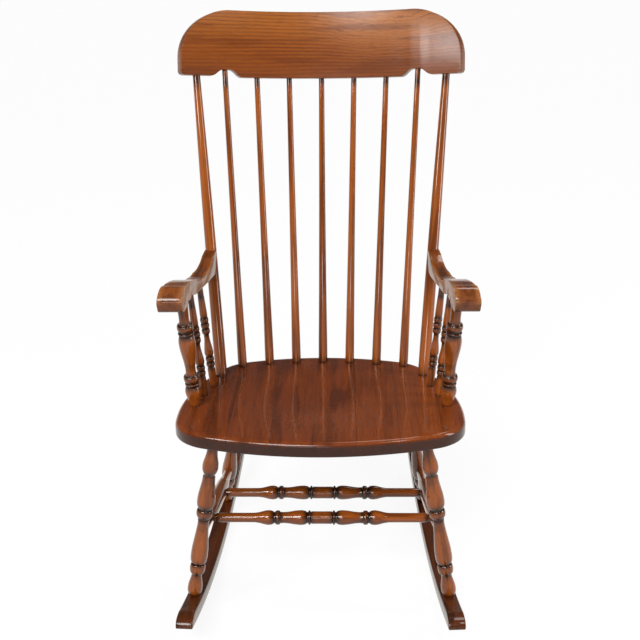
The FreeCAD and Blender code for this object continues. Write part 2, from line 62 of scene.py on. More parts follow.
class Wire:
    def __init__(self, nodes, socket):
        self.nodes = nodes
        self.socket = socket

    def sum(self, operation, *values):
        return self.nodes.add("ShaderNodeMath", {"operation": operation}, list(values))

    def __add__(self, other):
        return self.sum("ADD", self, other)

    def __radd__(self, other):
        return self.sum("ADD", other, self)

    def __sub__(self, other):
        return self.sum("SUBTRACT", self, other)

    def __rsub__(self, other):
        return self.sum("SUBTRACT", other, self)

    def __mul__(self, other):
        return self.sum("MULTIPLY", self, other)

    def __rmul__(self, other):
        return self.sum("MULTIPLY", other, self)

    def __truediv__(self, other):
        return self.sum("DIVIDE", self, other)

    def __pow__(self, other):
        return self.sum("POWER", self, other)


class Finish:
    # one material and its nodes
    def __init__(self, name):
        self.material = bpy.data.materials.new(name)
        self.material.use_nodes = True
        self.tree = self.material.node_tree
        self.tree.nodes.clear()

    def add(self, kind, settings=None, values=None, output=0):
        node = self.tree.nodes.new(kind)
        for key, value in (settings or {}).items():
            if key == "stops":
                ramp = node.color_ramp
                while len(ramp.elements) < len(value):
                    ramp.elements.new(0.5)
                for element, (place, colour) in zip(ramp.elements, value):
                    element.position = place
                    element.color = colour
            else:
                setattr(node, key, value)
        pairs = values.items() if isinstance(values, dict) else enumerate(values or [])
        for key, value in pairs:
            if isinstance(value, Wire):
                self.tree.links.new(value.socket, node.inputs[key])
            else:
                node.inputs[key].default_value = value
        return Wire(self, node.outputs[output]) if node.outputs else None

    def mix(self, share, low, high, way="MIX"):
        low, high = (value if isinstance(value, Wire) else (*value, 1) for value in (low, high))
        return self.add("ShaderNodeMix", {"data_type": "RGBA", "blend_type": way},
                        {0: share, 6: low, 7: high}, 2)

    def step(self, value, low, high):
        # 0 below low, 1 above high, smooth between
        return self.add("ShaderNodeMapRange", {"interpolation_type": "SMOOTHSTEP"},
                        {0: value, 1: low, 2: high, 3: 0.0, 4: 1.0})

    def noise(self, place, scale, detail=3.0, rough=0.55, bend=0.0):
        return self.add("ShaderNodeTexNoise", {"noise_dimensions": "3D"},
                        {"Vector": place, "Scale": scale, "Detail": detail, "Roughness": rough,
                         "Distortion": bend})

    def moved(self, place, scale=(1, 1, 1), offset=(0, 0, 0), turn=(0, 0, 0)):
        return self.add("ShaderNodeMapping", {"vector_type": "POINT"},
                        {"Vector": place, "Location": offset, "Rotation": turn, "Scale": scale})

    def attribute(self, name, output=1):
        return self.add("ShaderNodeAttribute", {"attribute_name": name}, output=output)

    def part(self, place, axis):
        return self.add("ShaderNodeSeparateXYZ", values=[place], output="XYZ".index(axis))

    def close(self, colour, rough, height, depth, coat, constants):
        bump = self.add("ShaderNodeBump", values={
            "Strength": 1.0, "Distance": depth, "Height": height})
        values = {"Base Color": colour, "Roughness": rough, "Normal": bump, "Coat Weight": coat}
        values.update(constants)
        shader = self.add("ShaderNodeBsdfPrincipled", values=values)
        self.add("ShaderNodeOutputMaterial", values=[shader])
        return self.material


# woods

lacquer = {"Coat Roughness": 0.08, "Coat IOR": 1.46, "IOR": 1.45, "Specular IOR Level": 0.12,
           "Coat Tint": (0.96, 0.82, 0.64, 1)}


def stainedWood(name, look):
    # Open-grained wood under stain, dark glaze, painted shade and gloss lacquer, with a painted
    # highlight on the worn edges. The blank attribute is each piece's own place before it was
    # bent or set at its angle, with the grain along its Z.
    finish = Finish(name)
    blank = finish.attribute("blank")
    glaze = finish.attribute("glaze", 2)
    wear = finish.attribute("wear", 2)
    grainLength = look["grainLength"]
    wander = finish.noise(finish.moved(blank, (9, 9, 1.6)), 1.0, 2.0)
    figure = finish.moved(blank, (1, 1, 1 / grainLength))
    bent = finish.add("ShaderNodeVectorMath", {"operation": "ADD"}, [
        figure, finish.add("ShaderNodeVectorMath", {"operation": "SCALE"}, {
            0: finish.add("ShaderNodeTexNoise", {}, {
                "Vector": finish.moved(blank, (6, 6, 2.2)), "Scale": 1.0, "Detail": 2.0},
                output=1),
            "Scale": look["figure"]})])
    rings = finish.noise(bent, look["rings"], 2.0, 0.45)
    bands = finish.add("ShaderNodeMath", {"operation": "PINGPONG"}, [rings * look["bands"], 1.0])
    lines = finish.step(bands, 0.12, 0.75)
    pores = finish.noise(finish.moved(blank, (900, 900, 22)), 1.0, 2.0, 0.6)
    poreMark = finish.step(pores, 0.56, 0.72)
    flecks = finish.noise(finish.moved(blank, (240, 240, 7)), 1.0, 3.0, 0.6)
    stain = finish.mix(lines, look["dark"], look["light"])
    stain = finish.mix(finish.step(wander, 0.35, 0.68) * 0.55, stain, look["warm"])
    stain = finish.mix(finish.step(flecks, 0.4, 0.75) * look["fleck"], stain, look["dark"])
    stain = finish.mix(poreMark * look["pore"], stain, look["poreColour"])
    # dark glaze in the grooves, with painted shade beside the rings, at the joints and in the waists
    stain = finish.mix(glaze, stain, look["glaze"])
    # worn edges with a painted highlight, lighter along the top edges of the arms
    stain = finish.mix(wear * finish.step(flecks, 0.25, 0.6), stain, look["wornAndHighlight"])
    rough = look["rough"] + poreMark * 0.12 + wear * 0.1 + finish.step(wander, 0.3, 0.8) * 0.05
    height = flecks * 0.25 - poreMark * 0.6 + lines * 0.15
    coat = look["coat"] - poreMark * 0.15 - wear * 0.2
    return finish.close(stain, rough, height, 0.0004, coat, lacquer)


turnedLook = {
    "grainLength": 16, "figure": 0.016, "rings": 62, "bands": 5.0,
    "dark": (0.105, 0.026, 0.005), "light": (0.248, 0.068, 0.011), "warm": (0.365, 0.110, 0.017),
    "poreColour": (0.060, 0.017, 0.006), "glaze": (0.014, 0.005, 0.003),
    "wornAndHighlight": (0.42, 0.17, 0.05), "fleck": 0.35, "pore": 0.45, "rough": 0.22, "coat": 0.9,
}
armLook = {
    "grainLength": 14, "figure": 0.03, "rings": 46, "bands": 5.0,
    "dark": (0.046, 0.012, 0.004), "light": (0.155, 0.043, 0.011), "warm": (0.220, 0.066, 0.015),
    "poreColour": (0.024, 0.008, 0.004), "glaze": (0.018, 0.007, 0.004),
    "wornAndHighlight": (0.40, 0.19, 0.07), "fleck": 0.4, "pore": 0.5, "rough": 0.25, "coat": 0.7,
}
rockerLook = {
    "grainLength": 16, "figure": 0.02, "rings": 55, "bands": 5.0,
    "dark": (0.026, 0.008, 0.003), "light": (0.078, 0.021, 0.006), "warm": (0.110, 0.031, 0.008),
    "poreColour": (0.020, 0.007, 0.004), "glaze": (0.016, 0.006, 0.004),
    "wornAndHighlight": (0.24, 0.10, 0.035), "fleck": 0.4, "pore": 0.5, "rough": 0.29, "coat": 0.6,
}
crestLook = {
    "lineSpacing": 0.0036, "wave": 4.5, "swirlUp": 0.112, "swirlAcross": 0.135, "swirlReach": 0.11,
    "swirl": 8.0, "golden": (0.250, 0.069, 0.009), "brown": (0.125, 0.030, 0.006),
    "bright": (0.365, 0.130, 0.022), "line": (0.080, 0.022, 0.007), "pore": (0.060, 0.018, 0.007),
    "rough": 0.27, "coat": 0.55, "coatRough": 0.24,
}


def crestWood(name, look):
    # long grain lines along the rail that curl into a swirl near one upper corner
    finish = Finish(name)
    blank = finish.attribute("blank")
    up, along = finish.part(blank, "Y"), finish.part(blank, "Z")
    wave = finish.noise(finish.moved(blank, (1, 7, 2.2)), 1.0, 3.0, 0.45)
    offUp, offAlong = up - look["swirlUp"], (along - look["swirlAcross"]) * 0.62
    gap = (offUp * offUp + offAlong * offAlong) ** 0.5
    swirl = 1 - finish.step(gap, 0.012, look["swirlReach"])
    curl = finish.noise(finish.moved(blank, (1, 40, 26)), 1.0, 3.0, 0.55)
    rows = up / look["lineSpacing"] + wave * look["wave"] + swirl * (curl * look["swirl"])
    bands = finish.add("ShaderNodeMath", {"operation": "PINGPONG"}, [rows, 1.0])
    soft = finish.step(bands, 0.0, 1.0)
    thin = finish.step(bands, 0.80, 0.98)
    fine = finish.noise(finish.moved(blank, (1, 620, 9)), 1.0, 3.0, 0.6)
    pores = finish.noise(finish.moved(blank, (1, 1500, 42)), 1.0, 2.0, 0.6)
    strength = finish.step(finish.noise(finish.moved(blank, (1, 30, 5)), 1.0, 2.0), 0.35, 0.65)
    poreMark = finish.step(pores, 0.55, 0.7)
    cloud = finish.noise(finish.moved(blank, (1, 11, 4)), 1.0, 2.0)
    drift = finish.noise(finish.moved(blank, (1, 48, 5)), 1.0, 3.0, 0.5)
    stain = finish.mix(soft * 0.75, look["golden"], look["brown"])
    stain = finish.mix(finish.step(cloud, 0.4, 0.65) * 0.55, stain, look["golden"])
    stain = finish.mix(finish.step(up, 0.05, 0.12) * 0.45 + swirl * 0.4, stain, look["bright"])
    stain = finish.mix((1 - finish.step(up, 0.0, 0.075)) * 0.45, stain, look["brown"])
    stain = finish.mix(finish.step(drift, 0.5, 0.64) * 0.6, stain, look["brown"])
    stain = finish.mix(finish.step(fine, 0.42, 0.75) * 0.45, stain, look["brown"])
    stain = finish.mix(thin * (0.08 + strength * 0.6 + swirl * 0.25), stain, look["line"])
    stain = finish.mix(poreMark * 0.5, stain, look["pore"])
    rough = look["rough"] + poreMark * 0.12 + finish.step(cloud, 0.3, 0.8) * 0.05
    height = fine * 0.3 - poreMark * 0.6 - thin * 0.2
    coat = look["coat"] - poreMark * 0.15
    return finish.close(stain, rough, height, 0.0003, coat, {**lacquer, "Coat Roughness": look["coatRough"]})


def boardedWood(name, look):
    # glued boards that run from the front to the back, each with its own tone
    finish = Finish(name)
    blank = finish.attribute("blank")
    glaze = finish.attribute("glaze", 2)
    wear = finish.attribute("wear", 2)
    across = finish.part(blank, "X")
    count = across / look["boardWidth"] + look["firstJoint"]
    board = finish.add("ShaderNodeMath", {"operation": "FLOOR"}, [count])
    joint = finish.add("ShaderNodeMath", {"operation": "FRACT"}, [count])
    tone = finish.add("ShaderNodeTexWhiteNoise", {"noise_dimensions": "1D"}, {"W": board})
    shifted = finish.add("ShaderNodeVectorMath", {"operation": "ADD"}, [
        blank, finish.add("ShaderNodeCombineXYZ", values=[tone * 3.0, board * 0.7, tone * 5.0])])
    bent = finish.add("ShaderNodeVectorMath", {"operation": "ADD"}, [
        finish.moved(shifted, (1, 1, 1 / look["grainLength"])),
        finish.add("ShaderNodeVectorMath", {"operation": "SCALE"}, {
            0: finish.add("ShaderNodeTexNoise", {}, {
                "Vector": finish.moved(shifted, (5, 5, 2)), "Scale": 1.0, "Detail": 2.0}, output=1),
            "Scale": look["figure"]})])
    rings = finish.noise(bent, look["rings"], 2.0, 0.45)
    bands = finish.add("ShaderNodeMath", {"operation": "PINGPONG"}, [rings * look["bands"], 1.0])
    lines = finish.step(bands, 0.1, 0.8)
    pores = finish.noise(finish.moved(shifted, (800, 800, 18)), 1.0, 2.0, 0.6)
    poreMark = finish.step(pores, 0.55, 0.72)
    flecks = finish.noise(finish.moved(shifted, (210, 210, 5)), 1.0, 3.0, 0.6)
    cloud = finish.noise(finish.moved(blank, (5, 5, 5)), 1.0, 2.0)
    stain = finish.mix(lines * 0.7, look["dark"], look["light"])
    stain = finish.mix(tone * 0.6, stain, look["warm"])
    stain = finish.mix(finish.step(cloud, 0.4, 0.7) * 0.4, stain, look["warm"])
    stain = finish.mix(finish.step(flecks, 0.4, 0.75) * 0.4, stain, look["dark"])
    stain = finish.mix(poreMark * 0.45, stain, look["poreColour"])
    line = 1 - finish.step(joint, 0.0, 0.012) * (1 - finish.step(joint, 0.988, 1.0))
    stain = finish.mix(line * 0.55, stain, look["poreColour"])
    # darker edge faces below the top roll: end grain and painted shade
    stain = finish.mix(glaze, stain, look["glaze"])
    stain = finish.mix(wear * finish.step(flecks, 0.25, 0.6), stain, look["wornAndHighlight"])
    rough = look["rough"] + poreMark * 0.1 + finish.step(cloud, 0.35, 0.75) * 0.05
    height = flecks * 0.2 - poreMark * 0.5 - line * 0.8
    coat = look["coat"] - poreMark * 0.1
    return finish.close(stain, rough, height, 0.0004, coat, lacquer)


seatLook = {
    "boardWidth": 0.078, "firstJoint": 20.37, "grainLength": 12, "figure": 0.03, "rings": 34, "bands": 5.0,
    "dark": (0.072, 0.016, 0.005), "light": (0.185, 0.042, 0.010), "warm": (0.245, 0.060, 0.013),
    "poreColour": (0.030, 0.009, 0.005), "glaze": (0.018, 0.006, 0.004),
    "wornAndHighlight": (0.30, 0.13, 0.05), "rough": 0.2, "coat": 0.5,
}
steelLook = {"light": (0.62, 0.62, 0.64), "dark": (0.40, 0.40, 0.42), "rough": 0.35}


def platedSteel(name, look):
    finish = Finish(name)
    place = finish.add("ShaderNodeTexCoord", output=3)
    scratches = finish.noise(finish.moved(place, (900, 60, 900)), 1.0, 3.0)
    colour = finish.mix(finish.step(scratches, 0.35, 0.7), look["dark"], look["light"])
    return finish.close(colour, look["rough"] + scratches * 0.15, scratches, 0.0001, 0.0,
                        {"Metallic": 1.0})


def plugWood(name, look):
    # short end-grain plugs, whose nodes have no blank attribute
    finish = Finish(name)
    place = finish.add("ShaderNodeTexCoord", output=3)
    rings = finish.noise(finish.moved(place, (700, 60, 260)), 1.0, 2.0)
    pores = finish.noise(finish.moved(place, (2200, 200, 2200)), 1.0, 2.0)
    stain = finish.mix(finish.step(rings, 0.35, 0.65), look["dark"], look["light"])
    stain = finish.mix(finish.step(pores, 0.55, 0.7) * 0.6, stain, look["poreColour"])
    return finish.close(stain, look["rough"] + pores * 0.1, pores * 0.5, 0.0003, 0.5, lacquer)


turnedFinish = stainedWood("turned wood, red brown", turnedLook)
armFinish = stainedWood("arm wood, dark brown", armLook)
rockerFinish = stainedWood("rocker wood, dark brown", rockerLook)
crestFinish = crestWood("crest wood, golden brown", crestLook)
seatFinish = boardedWood("seat boards, deep red brown", seatLook)
steelFinish = platedSteel("zinc plated steel", steelLook)
plugFinish = plugWood("plug end grain", turnedLook)
print("finishes made")


# shaping helpers


def storeBlank(work, number, turn=None):
    # keeps each vertex's own place, so that the grain follows the piece and not the room
    blank = work.verts.layers.float_vector.new("blank")
    offset = Vector((number * 0.37 % 2, number * 0.73 % 3, number * 0.19 % 1.5))  # 0 keeps its own
    for vertex in work.verts:
        place = turn @ vertex.co if turn else vertex.co
        vertex[blank] = place + offset


def finishPiece(work, name, nodes, material, sharp=38):
    bmesh.ops.remove_doubles(work, verts=work.verts, dist=1e-6)
    bmesh.ops.recalc_face_normals(work, faces=work.faces)
    for face in work.faces:
        face.smooth = True
    mesh = bpy.data.meshes.new(name)
    work.to_mesh(mesh)
    work.free()
    mesh.set_sharp_from_angle(angle=math.radians(sharp))
    piece = bpy.data.objects.new(name, mesh)
    bpy.context.scene.collection.objects.link(piece)
    mesh.materials.append(material)
    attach(piece, "root")
    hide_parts(*nodes)
    return piece


def flipped(work):
    # the left-hand twin of a right-hand piece
    twin = work.copy()
    bmesh.ops.scale(twin, vec=(-1, 1, 1), verts=twin.verts)
    bmesh.ops.reverse_faces(twin, faces=twin.faces)
    blank = twin.verts.layers.float_vector.get("blank")
    for vertex in twin.verts:
        vertex[blank] = vertex[blank] + Vector((0.41, 0.23, 0.61))
    return twin


# turning: strokes of the gouge along an axis, in mm


def throughPoints(points, spacing=2.2):
    # a fair curve through (height, diameter) points, with no overshoot
    heights = [point[0] for point in points]
    widths = [point[1] for point in points]
    steps = [b - a for a, b in zip(heights, heights[1:])]
    slopes = [(b - a) / step for a, b, step in zip(widths, widths[1:], steps)]
    tangents = [slopes[0]]
    for before, after in zip(slopes, slopes[1:]):
        flat = before * after <= 0
        tangents.append(0 if flat else 2 * before * after / (before + after))
    tangents.append(slopes[-1])
    line = [points[0][:2]]
    for place, step in enumerate(steps):
        count = max(1, round(step / spacing))
        for part in range(1, count + 1):
            share = part / count
            square, cube = share ** 2, share ** 3
            line.append((
                heights[place] + share * step,
                (2 * cube - 3 * square + 1) * widths[place]
                + (cube - 2 * square + share) * step * tangents[place]
                + (3 * square - 2 * cube) * widths[place + 1]
                + (cube - square) * step * tangents[place + 1]))
    return line


def bead(start, end, foot, crown, count=10):
    # half-round ring from start to end that rises from diameter foot to crown
    middle, half = (start + end) / 2, (end - start) / 2
    line = []
    for place in range(count + 1):
        angle = math.pi * place / count
        line.append((middle - half * math.cos(angle), foot + (crown - foot) * math.sin(angle) ** 0.8))
    return line


def cove(start, end, rim, floor, count=6):
    return bead(start, end, rim, floor, count)


def turning(strokes, sides=48):
    # strokes: lists of (height, diameter) in mm, from the foot to the head
    line, quirks = [], []
    for stroke in strokes:
        if line and math.dist(line[-1], stroke[0]) > 0.01:
            quirks.append((line[-1][0] + stroke[0][0]) / 2)
        for height, width in stroke:
            if line and abs(line[-1][0] - height) < 0.01 and abs(line[-1][1] - width) < 0.01:
                continue
            line.append((height, width))
    work = bmesh.new()
    spots = [work.verts.new(mm(width / 2, 0, height)) for height, width in line]
    foot = work.verts.new(mm(0, 0, line[0][0]))
    head = work.verts.new(mm(0, 0, line[-1][0]))
    chain = [foot, *spots, head]
    edges = [work.edges.new(pair) for pair in zip(chain, chain[1:])]
    bmesh.ops.spin(work, geom=chain + edges, cent=(0, 0, 0), axis=(0, 0, 1),
                   angle=math.tau, steps=sides, use_merge=True)
    bmesh.ops.remove_doubles(work, verts=work.verts, dist=1e-6)
    glaze = work.verts.layers.float.new("glaze")
    work.verts.layers.float.new("wear")
    # glaze in the grooves, and painted shade beside the rings, at the joints and in the waists
    dark = glazeOf(line, quirks)
    for vertex in work.verts:
        vertex[glaze] = dark(vertex.co.z * 1000, math.hypot(vertex.co.x, vertex.co.y) * 2000)
    return work


def glazeOf(line, quirks, reach=6.0, full=3.4, spread=6.4, waist=30.0):
    # dark glaze fills the narrow grooves; painted shade fades out from the quirks beside each
    # ring and at the tenon shoulders, and darkens the waists between the swells
    table = []
    for height, width in line:
        below = max([w for h, w in line if height - reach <= h <= height] or [width])
        above = max([w for h, w in line if height <= h <= height + reach] or [width])
        valley = eased((min(below, above) - width - 0.4) / full)
        lower = max([w for h, w in line if height - waist <= h <= height] or [width])
        upper = max([w for h, w in line if height <= h <= height + waist] or [width])
        # painted shade in the waists between the swells
        waistShade = 0.5 * eased((min(lower, upper) - width - 1.5) / 9)
        # painted shade beside each ring and at the tenon shoulders
        quirkShade = max([math.exp(-((height - quirk) / spread) ** 2) for quirk in quirks] or [0])
        table.append((height, width, max(valley, waistShade, 0.9 * quirkShade)))

    def dark(height, width):
        nearest = min(table, key=lambda row: abs(row[0] - height) + 0.5 * abs(row[1] - width))
        return nearest[2]

    return dark


def stand(work, start, end):
    # sets a turned piece on the line from start to end
    turn = Vector((0, 0, 1)).rotation_difference(end - start).to_matrix().to_4x4()
    bmesh.ops.transform(work, matrix=Matrix.Translation(start) @ turn, verts=work.verts)


grainCount = 0


def nextGrain():
    global grainCount
    grainCount += 1
    return grainCount


def turnedPiece(name, node, strokes, start, end, sides=48):
    work = turning(strokes, sides)
    storeBlank(work, nextGrain())
    stand(work, start, end)
    return finishPiece(work, name, [node], turnedFinish)


def turnedPair(stem, strokes, start, end, sides=48):
    for hand, side in (("right", 1), ("left", -1)):
        points = [Vector((side * point.x, point.y, point.z)) for point in (start, end)]
        turnedPiece(stem.format(hand) + "_turned", stem.format(hand), strokes, *points, sides)


def stretched(strokes, scale, shift=0.0):
    return [[(height * scale + shift, width) for height, width in stroke] for stroke in strokes]


# the chair's lines, in mm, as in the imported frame

seatPlane = {"front": -348, "height": 408, "slope": 2.2, "thickness": 28}
rockerLine = {"rest": -48, "radius": 1310, "height": 24, "spacing": 467, "toeIn": 3.4, "width": 32}
crestLine = {"foot": (0, 199, 966), "bend": 603, "lean": 12.6, "thickness": 22}


def seatTop(y):
    fall = math.tan(math.radians(seatPlane["slope"]))
    return seatPlane["height"] - fall * (y - seatPlane["front"])


def onSeat(x, y):
    return Vector((x, y, seatTop(y)))


def underSeat(x, y):
    drop = seatPlane["thickness"] / math.cos(math.radians(seatPlane["slope"]))
    return Vector((x, y, seatTop(y) - drop))


def onRocker(y, inward=0):
    lean = y - rockerLine["rest"]
    toe = math.radians(rockerLine["toeIn"])
    run = lean / math.cos(toe)
    radius = rockerLine["radius"]
    bottom = radius - math.sqrt(radius ** 2 - run ** 2)
    top = bottom + rockerLine["height"] / math.cos(math.asin(run / radius))
    return Vector((rockerLine["spacing"] / 2 - lean * math.tan(toe) - inward, y, top))


def onCrest(across, up, deep=0.0):
    # a point of the bent crest rail, deep measured from its middle layer to the rear
    bend, lean = crestLine["bend"], math.radians(crestLine["lean"])
    angle = across / bend
    depth = -bend + (bend + deep) * math.cos(angle)
    return Vector(crestLine["foot"]) + Vector((
        (bend + deep) * math.sin(angle),
        up * math.sin(lean) + depth * math.cos(lean),
        up * math.cos(lean) - depth * math.sin(lean)))


frontLegFoot, frontLegHead = onRocker(-260.5, -2), underSeat(196, -266)
rearLegFoot, rearLegHead = onRocker(135.5), underSeat(173, 6)
postFoot, postHead = onSeat(207, 3), onCrest(257, 6)
armPostFoot, armPostHead = onSeat(241.5, -163), Vector((251.8, -202, 629))
armSpindles = {
    "front": (onSeat(229, -112), Vector((244, -141, 622))),
    "rear": (onSeat(216, -62), Vector((233, -83, 613))),
}
stretcherFront = frontLegFoot.lerp(frontLegHead, 0.408)
stretcherRear = rearLegFoot.lerp(rearLegHead, 0.288)
crossFront = stretcherFront.lerp(stretcherRear, 0.22)
crossRear = stretcherFront.lerp(stretcherRear, 0.6)


def metres(point):
    return Vector(point) / 1000


# legs

legTurning = [
    [(-16, 17), (1, 17)],
    throughPoints([(1, 18), (3.5, 22.5), (8, 26.6), (15, 28.6), (23, 28), (33, 24.4), (43, 20.6),
                   (49, 20)]),
    bead(51.5, 72, 22.5, 29.8, 12),
    throughPoints([(74.5, 25.6), (77, 29.6), (82, 31.8), (90, 32.6), (104, 31.8), (124, 28),
                   (144, 23.8), (160, 21.6), (169, 21.6)]),
    cove(169, 174, 22.5, 20, 4),
    bead(175, 191.5, 24, 31.4, 12),
    cove(191.5, 196, 27, 25, 4),
    throughPoints([(196.5, 29.6), (200, 32.6), (208, 34.3), (218, 33.6), (234, 29.4), (250, 25),
                   (261, 23.6)]),
    cove(261, 268, 23.6, 20.8, 5),
    throughPoints([(268, 23.8), (273, 28.2), (280, 30.6), (288, 29.6), (300, 24.4), (312, 20.6),
                   (322, 19.6)]),
]
frontRun = (frontLegHead - frontLegFoot).length
rearRun = (rearLegHead - rearLegFoot).length
for stem, foot, head, run in (("front_leg_{}", frontLegFoot, frontLegHead, frontRun),
                              ("rear_leg_{}", rearLegFoot, rearLegHead, rearRun)):
    strokes = stretched(legTurning, run / 337) + [[(run - 2, 19.6), (run + 21, 19.6)]]
    turnedPair(stem, strokes, metres(foot), metres(foot) + (metres(head) - metres(foot)), 56)
print("legs turned")

# side stretchers

sideRun = (stretcherRear - stretcherFront).length
sideTurning = [
    [(-3, 15), (11, 15)],
    throughPoints([(11.5, 16.4), (14, 17.4), (40, 18), (70, 20.4), (100, 26), (sideRun * 0.36, 29.4),
                   (sideRun * 0.46, 30), (sideRun * 0.56, 29.4), (sideRun - 100, 26),
                   (sideRun - 70, 20.4), (sideRun - 40, 18), (sideRun - 14, 17.4),
                   (sideRun - 11.5, 16.4)], 4),
    [(sideRun - 11, 15), (sideRun + 3, 15)],
]
turnedPair("side_stretcher_{}", sideTurning, metres(stretcherFront), metres(stretcherRear), 44)

# cross stretchers: a ringed middle, then a belly, a bead, a swell and a slender end each side


def crossTurning(half):
    right = [
        [(0, 24.6), (8, 24.7), (14, 24.8), (20, 24.8)],
        cove(20, 21.6, 24.8, 22.5, 4),
        bead(21.6, 26.4, 23.6, 28.6, 8),
        cove(26.4, 29.5, 24, 22, 4),
        throughPoints([(29.5, 24.2), (33, 27.4), (40, 29.2), (52, 27.4), (64, 23.6), (75, 21.8),
                       (81, 22.6)]),
        bead(81.5, 91, 23.6, 28.4, 10),
        cove(91, 94.6, 25, 22, 4),
        throughPoints([(94.6, 24.4), (98, 27.6), (104, 29.2), (112, 27.2), (122, 22), (134, 18.8),
                       (half - 20, 18.4), (half - 13, 17.6)], 3),
        [(half - 12.5, 14), (half, 14)],
    ]
    left = [[(-height, width) for height, width in reversed(stroke)] for stroke in reversed(right)]
    return left + right


for end, point in (("front", crossFront), ("rear", crossRear)):
    strokes = crossTurning(point.x - 2.5)
    centre = metres((0, point.y, point.z))
    turnedPiece(f"cross_stretcher_{end}_turned", f"cross_stretcher_{end}", strokes, centre,
                centre + Vector((1, 0, 0)), 48)
print("stretchers turned")

# back posts and spindles

postRun = (postHead - postFoot).length
postTurning = [
    [(-20, 20), (-0.4, 20)],
    throughPoints([(-0.4, 22.6), (4, 23.6), (60, 24), (330, 21.6), (postRun - 60, 16.6),
                   (postRun - 10, 15.2)], 20),
    [(postRun - 9, 15), (postRun + 15, 15)],
]
turnedPair("back_post_{}", postTurning, metres(postFoot), metres(postHead), 40)

backSpindle = {"footPitch": 56, "topPitch": 66, "footY": 84, "sweep": 0.00096, "length": 632}
for number in range(-3, 4):
    across = number * backSpindle["footPitch"]
    foot = onSeat(across, backSpindle["footY"] - backSpindle["sweep"] * across ** 2)
    head = onCrest(number * backSpindle["topPitch"], 18 if abs(number) == 3 else 1.5)
    run = backSpindle["length"] - 20
    strokes = [
        [(-20, 15), (-0.4, 15)],
        throughPoints([(-0.4, 17.6), (4, 18.5), (14, 18.7), (96, 17), (190, 15.2), (352, 13),
                       (run - 30, 11.2)], 14),
        [(run - 28, 11), (run, 11)],
    ]
    turnedPiece(f"back_spindle_{number + 4}_turned", f"back_spindle_{number + 4}", strokes,
                metres(foot), metres(head), 36)
print("back turned")

# arm posts and arm spindles

armPostTurning = [
    [(-16, 19.5), (-0.5, 19.5)],
    throughPoints([(-0.5, 20), (8, 21.4), (18, 25.4), (27, 29.8), (34, 31), (40, 29.2), (45, 25.6)]),
    cove(45, 48, 25, 23, 4),
    bead(48, 53, 24, 28, 8),
    cove(53, 56, 24, 22, 4),
    bead(56, 69, 23.6, 30.6, 12),
    throughPoints([(70, 22), (76, 19.6), (82, 19.4), (96, 21.4), (114, 26.6), (130, 30.8), (141, 32),
                   (150, 30), (156, 26.4)]),
    cove(156, 158.5, 25.5, 23.5, 4),
    bead(158.5, 163.5, 24.6, 29.6, 8),
    cove(163.5, 166.5, 25, 22.5, 4),
    bead(166.5, 180, 24.4, 31, 12),
    throughPoints([(181, 22.4), (187, 19.6), (193, 19.3), (206, 20), (222, 22.4), (232, 24)]),
    [(233, 21), (251, 21)],
]
turnedPair("arm_post_{}", armPostTurning, metres(armPostFoot), metres(armPostHead), 56)

armSpindleTurning = [
    [(-16, 12.5), (-0.5, 12.5)],
    throughPoints([(-0.5, 12.8), (14, 14), (30, 15.2), (40, 15), (46, 13)]),
    bead(46.5, 56, 12.6, 17, 10),
    bead(57.5, 68, 12.8, 17, 10),
    throughPoints([(69, 13.6), (72, 16.6), (77, 18), (84, 17), (96, 13.6), (107, 11), (114, 10.6),
                   (118, 11.6)]),
    bead(118.5, 129.5, 12, 16.4, 10),
    bead(130.5, 141.5, 12.2, 16.8, 10),
    bead(142.5, 153, 12.6, 16.6, 10),
    throughPoints([(153.5, 14.2), (160, 14.7), (180, 13.6), (198, 12.4)]),
]
for end, (foot, head) in armSpindles.items():
    strokes = armSpindleTurning + [[(200, 12), (230 if end == "rear" else 240, 12)]]
    turnedPair("arm_spindle_{}_" + end, strokes, metres(foot), metres(head), 40)
print("arm posts and spindles turned")

# sawn boards


def arcPoints(start, end, bulge, spacing):
    # points of an arc that stands out by bulge on the right of start to end, without end
    start, end = Vector(start), Vector(end)
    chord = end - start
    if not bulge:
        count = max(1, round(chord.length / spacing))
        return [start.lerp(end, place / count) for place in range(count)]
    outward = Vector((chord.y, -chord.x)).normalized()
    half = chord.length / 2
    radius = (half * half + bulge * bulge) / (2 * bulge)
    centre = (start + end) / 2 + outward * (bulge - radius)
    first = start - centre
    sweep = 2 * math.asin(max(-1.0, min(1.0, half / radius)))
    if abs(bulge) > half:
        sweep = math.copysign(math.tau, sweep) - sweep
    count = max(2, round(abs(radius * sweep) / spacing))
    return [centre + Matrix.Rotation(sweep * place / count, 2) @ first for place in range(count)]


def sawnBoard(outline, thickness, slices, spacing=6):
    # outline in mm, anticlockwise: (x, y, bulge of the edge that follows). The board lies in XY,
    # its thickness along Z from 0 up, cut across at each slice so that it can be bent after.
    points = []
    for place, (x, y, bulge) in enumerate(outline):
        following = outline[(place + 1) % len(outline)]
        points += arcPoints((x, y), following[:2], bulge, spacing)
    work = bmesh.new()
    rim = [work.verts.new(mm(point.x, point.y, 0)) for point in points]
    work.faces.new(rim)
    normal = Vector((1, 0, 0))
    for place in slices:
        bmesh.ops.bisect_plane(
            work, geom=work.verts[:] + work.edges[:] + work.faces[:], dist=1e-5,
            plane_co=normal * place / 1000, plane_no=normal)
    made = bmesh.ops.extrude_face_region(work, geom=work.faces[:], use_keep_orig=True)
    raised = [item for item in made["geom"] if isinstance(item, bmesh.types.BMVert)]
    bmesh.ops.translate(work, vec=mm(0, 0, thickness), verts=raised)
    bmesh.ops.recalc_face_normals(work, faces=work.faces)
    return work


def easeEdges(work, offset, segments=4, angle=45):
    edges = [edge for edge in work.edges
             if len(edge.link_faces) == 2 and edge.calc_face_angle() > math.radians(angle)]
    bmesh.ops.bevel(work, geom=edges, offset=offset / 1000, segments=segments, profile=0.5,
                    affect="EDGES", material=-1, clamp_overlap=True, loop_slide=True)


